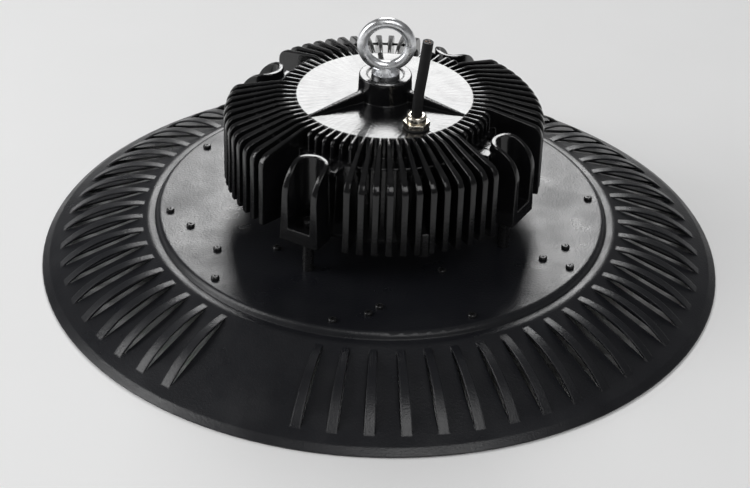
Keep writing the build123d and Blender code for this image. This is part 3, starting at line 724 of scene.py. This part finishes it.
class HIGHBAY_OT_screws(Operator):
    """Makes the pan head screws on the plate and the screws in the pockets"""

    bl_idname = "highbay.screws"
    bl_label = "Screws"

    # Where the screws stand: circles in metres and angles in degrees
    ring_circle = 0.129
    ring_angle = 6.5
    clamp_places = ((6, 0.1115, 30.3), (5, 0.1186, 51.3))
    inner_circle = 0.081
    inner_angles = (41.0, 117.0, 221.0, 297.0)
    pockets = 4
    pocket_circle = 0.0845
    pocket_angle = 240.5

    long_shank = 0.009
    short_shank = 0.0046
    pocket_head_radius = 0.0038
    pocket_head_height = 0.003
    pocket_shank_radius = 0.002

    # Shape of a head, as shares of its height or radius
    rounding = 0.45
    arm_length = 1.15
    arm_width = 0.3
    recess_depth = 0.5
    recess_floor = 0.6
    top_edge = 0.9

    # Each screw's cross stands this much further round than the one before, in radians
    cross_turn = 0.65

    # Edges of a screw flatter than this are shaded smooth
    smooth_angle = radians(32)

    def sink(self, screw, length, width, depth, top, turn):
        """Sinks one arm of the cross recess, narrower at its floor, into a head."""
        bpy.ops.object.select_all(action="DESELECT")
        bpy.ops.mesh.primitive_cube_add(size=1, location=(0, 0, top), rotation=(0, 0, turn))
        arm = bpy.context.object
        arm.scale = (length, width, 2 * depth)
        place_in_mesh(arm)
        pick(arm, "FACE", lambda face: face.normal.z < DOWNWARD)
        bpy.ops.transform.resize(value=(self.recess_floor, self.recess_floor, 1))
        bpy.ops.object.mode_set(mode="OBJECT")
        cut = screw.modifiers.new("Recess", "BOOLEAN")
        cut.operation = "DIFFERENCE"
        cut.solver = "EXACT"
        cut.object = arm
        apply_modifiers(screw)
        bpy.data.objects.remove(arm)

    def screw(self, name, radius, height, shank, length):
        """A head with a rounded top edge and a cross recess, on a plain shank."""
        bpy.ops.object.select_all(action="DESELECT")
        bpy.ops.mesh.primitive_cylinder_add(
            vertices=32, radius=radius, depth=height, location=(0, 0, height / 2)
        )
        screw = bpy.context.object
        screw.name = name
        place_in_mesh(screw)
        points = screw.data.vertices
        limit = self.top_edge * height
        pick(screw, "EDGE", lambda edge: all(points[k].co.z > limit for k in edge.vertices))
        bpy.ops.mesh.bevel(offset=self.rounding * height, segments=5, affect="EDGES", profile=0.5)
        bpy.ops.object.mode_set(mode="OBJECT")
        pick(screw, "FACE", lambda face: face.normal.z < DOWNWARD)
        bpy.ops.mesh.inset(thickness=radius - shank)
        bpy.ops.mesh.extrude_region_move(TRANSFORM_OT_translate={"value": (0, 0, -length)})
        bpy.ops.object.mode_set(mode="OBJECT")
        arm = (self.arm_length * radius, self.arm_width * radius, self.recess_depth * height)
        for turn in (0, pi / 2):
            self.sink(screw, *arm, height, turn)
        only(screw)
        bpy.ops.object.shade_smooth_by_angle(angle=self.smooth_angle)
        return screw

    def ring(self, name, screw, places, top):
        """Copies of a screw, one at each place, as one piece."""
        twins = []
        for k, (x, y) in enumerate(places):
            turn = Matrix.Rotation(self.cross_turn * k, 4, "Z")
            twins.append(copied(screw, Matrix.Translation((x, y, top)) @ turn))
        bpy.data.objects.remove(screw)
        return joined(name, twins)

    def execute(self, context):
        detail = context.scene.highbay_detail
        steel = black_steel()
        size = (detail.head_radius, detail.head_height, detail.shank_radius)
        outer = round_circle(detail.ring_screws, self.ring_circle, self.ring_angle)
        screw = self.screw("long_pan_screw", *size, self.long_shank)
        screws = self.ring("lens_ring_pan_heads", screw, outer, PLATE_TOP)
        finish_piece(screws, steel, "ring_screws")

        inner = [place for places in self.clamp_places for place in round_circle(*places)]
        inner += [on_circle(self.inner_circle, angle) for angle in self.inner_angles]
        screw = self.screw("short_pan_screw", *size, self.short_shank)
        screws = self.ring("plate_pan_heads", screw, inner, PLATE_TOP)
        finish_piece(screws, steel, "plate_screws")

        low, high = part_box("housing_screws")
        seat = high.z - self.pocket_head_height
        size = (self.pocket_head_radius, self.pocket_head_height, self.pocket_shank_radius)
        pockets = round_circle(self.pockets, self.pocket_circle, self.pocket_angle)
        screw = self.screw("pocket_screw", *size, seat - low.z)
        screws = self.ring("pocket_screw_heads", screw, pockets, seat)
        finish_piece(screws, steel, "housing_screws")
        return {"FINISHED"}


class HIGHBAY_OT_lenslets(Operator):
    """Makes the small lenses that stand on the underside of the lens, one below each emitter"""

    bl_idname = "highbay.lenslets"
    bl_label = "Lenslets"

    # The rings of emitters: the innermost has this many, and each next ring as many more
    rings = 3
    emitters = 6
    first_radius = 0.036
    ring_spacing = 0.030

    # A ball of radius 1 is cut here, and the part below it is kept
    cut_height = -0.02

    # Edges of a dome flatter than this are shaded smooth
    smooth_angle = radians(40)

    def execute(self, context):
        detail = context.scene.highbay_detail
        bpy.ops.object.select_all(action="DESELECT")
        bpy.ops.mesh.primitive_uv_sphere_add(
            segments=24, ring_count=12, radius=1, location=(0, 0, 0)
        )
        dome = bpy.context.object
        bpy.ops.object.mode_set(mode="EDIT")
        bpy.ops.mesh.select_all(action="SELECT")
        bpy.ops.mesh.bisect(
            plane_co=(0, 0, self.cut_height), plane_no=(0, 0, 1), clear_outer=True, use_fill=True
        )
        bpy.ops.object.mode_set(mode="OBJECT")
        dome.scale = (detail.lenslet_radius, detail.lenslet_radius, detail.lenslet_height)
        place_in_mesh(dome)
        bpy.ops.object.shade_smooth_by_angle(angle=self.smooth_angle)
        domes = []
        for ring in range(self.rings):
            count = self.emitters * (ring + 1)
            radius = self.first_radius + self.ring_spacing * ring
            for x, y in round_circle(count, radius):
                domes.append(copied(dome, Matrix.Translation((x, y, LENS_UNDERSIDE))))
        bpy.data.objects.remove(dome)
        finish_piece(joined("lens_domes", domes), lens_plastic(), None)
        return {"FINISHED"}


class HIGHBAY_OT_finishes(Operator):
    """Gives the other solids their finishes"""

    bl_idname = "highbay.finishes"
    bl_label = "Other finishes"

    def execute(self, context):
        paint = context.scene.highbay_paint
        rubber = black_rubber()
        steel = plated_steel()
        bare = bare_aluminium()
        finishes = {
            "eyebolt": zinc(paint),
            # Black oxide spacers; their black also stands in as painted shade under the pockets
            "spacers": black_steel(),
            "base_screws": steel,
            "board_screws": steel,
            "gland_locknut": nickel(paint),
            "gland_seal": rubber,
            "gland_washer": rubber,
            "base_grommet": rubber,
            "plate_grommet": rubber,
            # The base plate takes the casting's black paint in place of bare aluminium, as painted
            # shade under the housing between the fins
            "housing_base": casting_paint(paint),
            "heat_plate": bare,
            "driver_board": circuit_board(
                "Green circuit board", (0.03, 0.16, 0.06), (0.08, 0.3, 0.1)
            ),
            "led_board": circuit_board(
                "White circuit board", (0.78, 0.78, 0.77), (0.6, 0.6, 0.58)
            ),
            "transformer": wound("Taped transformer", (0.5, 0.33, 0.03), (0.62, 0.42, 0.06), 300),
            "output_choke": wound("Enamelled wire", (0.35, 0.12, 0.03), (0.5, 0.2, 0.06), 700),
            "capacitors": moulded("Capacitor sleeve", (0.02, 0.025, 0.06), 0.3),
            "terminal_block": moulded("Green terminal block", (0.05, 0.25, 0.08), 0.45),
            "led_emitters": phosphor(),
            "lens": lens_plastic(),
            "lens_gasket": grey_silicone(),
            "lens_ring": casting_paint(paint),
        }
        for name, finish in finishes.items():
            node = NODES[name]
            node.data.materials.clear()
            node.data.materials.append(finish)
        return {"FINISHED"}


class HIGHBAY_PT_panel(Panel):
    """Lists the pieces and their sizes"""

    bl_idname = "HIGHBAY_PT_panel"
    bl_label = "High bay light"
    bl_space_type = "VIEW_3D"
    bl_region_type = "UI"
    bl_category = "High Bay"

    def draw(self, context):
        layout = self.layout
        scene = context.scene
        for group in (scene.highbay_paint, scene.highbay_detail, scene.highbay_studio):
            box = layout.box()
            for name in group.__annotations__:
                box.prop(group, name)
        for operator in OPERATORS:
            layout.operator(operator.bl_idname)


OPERATORS = (
    HIGHBAY_OT_studio,
    HIGHBAY_OT_cord,
    HIGHBAY_OT_shade,
    HIGHBAY_OT_housing,
    HIGHBAY_OT_gland,
    HIGHBAY_OT_screws,
    HIGHBAY_OT_lenslets,
    HIGHBAY_OT_finishes,
)
GROUPS = {
    "highbay_paint": HighBayPaint,
    "highbay_detail": HighBayDetail,
    "highbay_studio": HighBayStudio,
}


def register():
    for group in GROUPS.values():
        bpy.utils.register_class(group)
    for name, group in GROUPS.items():
        setattr(bpy.types.Scene, name, PointerProperty(type=group))
    for operator in OPERATORS:
        bpy.utils.register_class(operator)
    bpy.utils.register_class(HIGHBAY_PT_panel)


def unregister():
    bpy.utils.unregister_class(HIGHBAY_PT_panel)
    for operator in reversed(OPERATORS):
        bpy.utils.unregister_class(operator)
    for name in GROUPS:
        delattr(bpy.types.Scene, name)
    for group in GROUPS.values():
        bpy.utils.unregister_class(group)


def main():
    register()
    bpy.ops.highbay.studio()
    bpy.ops.highbay.cord()
    bpy.ops.highbay.shade()
    bpy.ops.highbay.housing()
    bpy.ops.highbay.gland()
    bpy.ops.highbay.screws()
    bpy.ops.highbay.lenslets()
    bpy.ops.highbay.finishes()


if __name__ == "__main__":
    main()
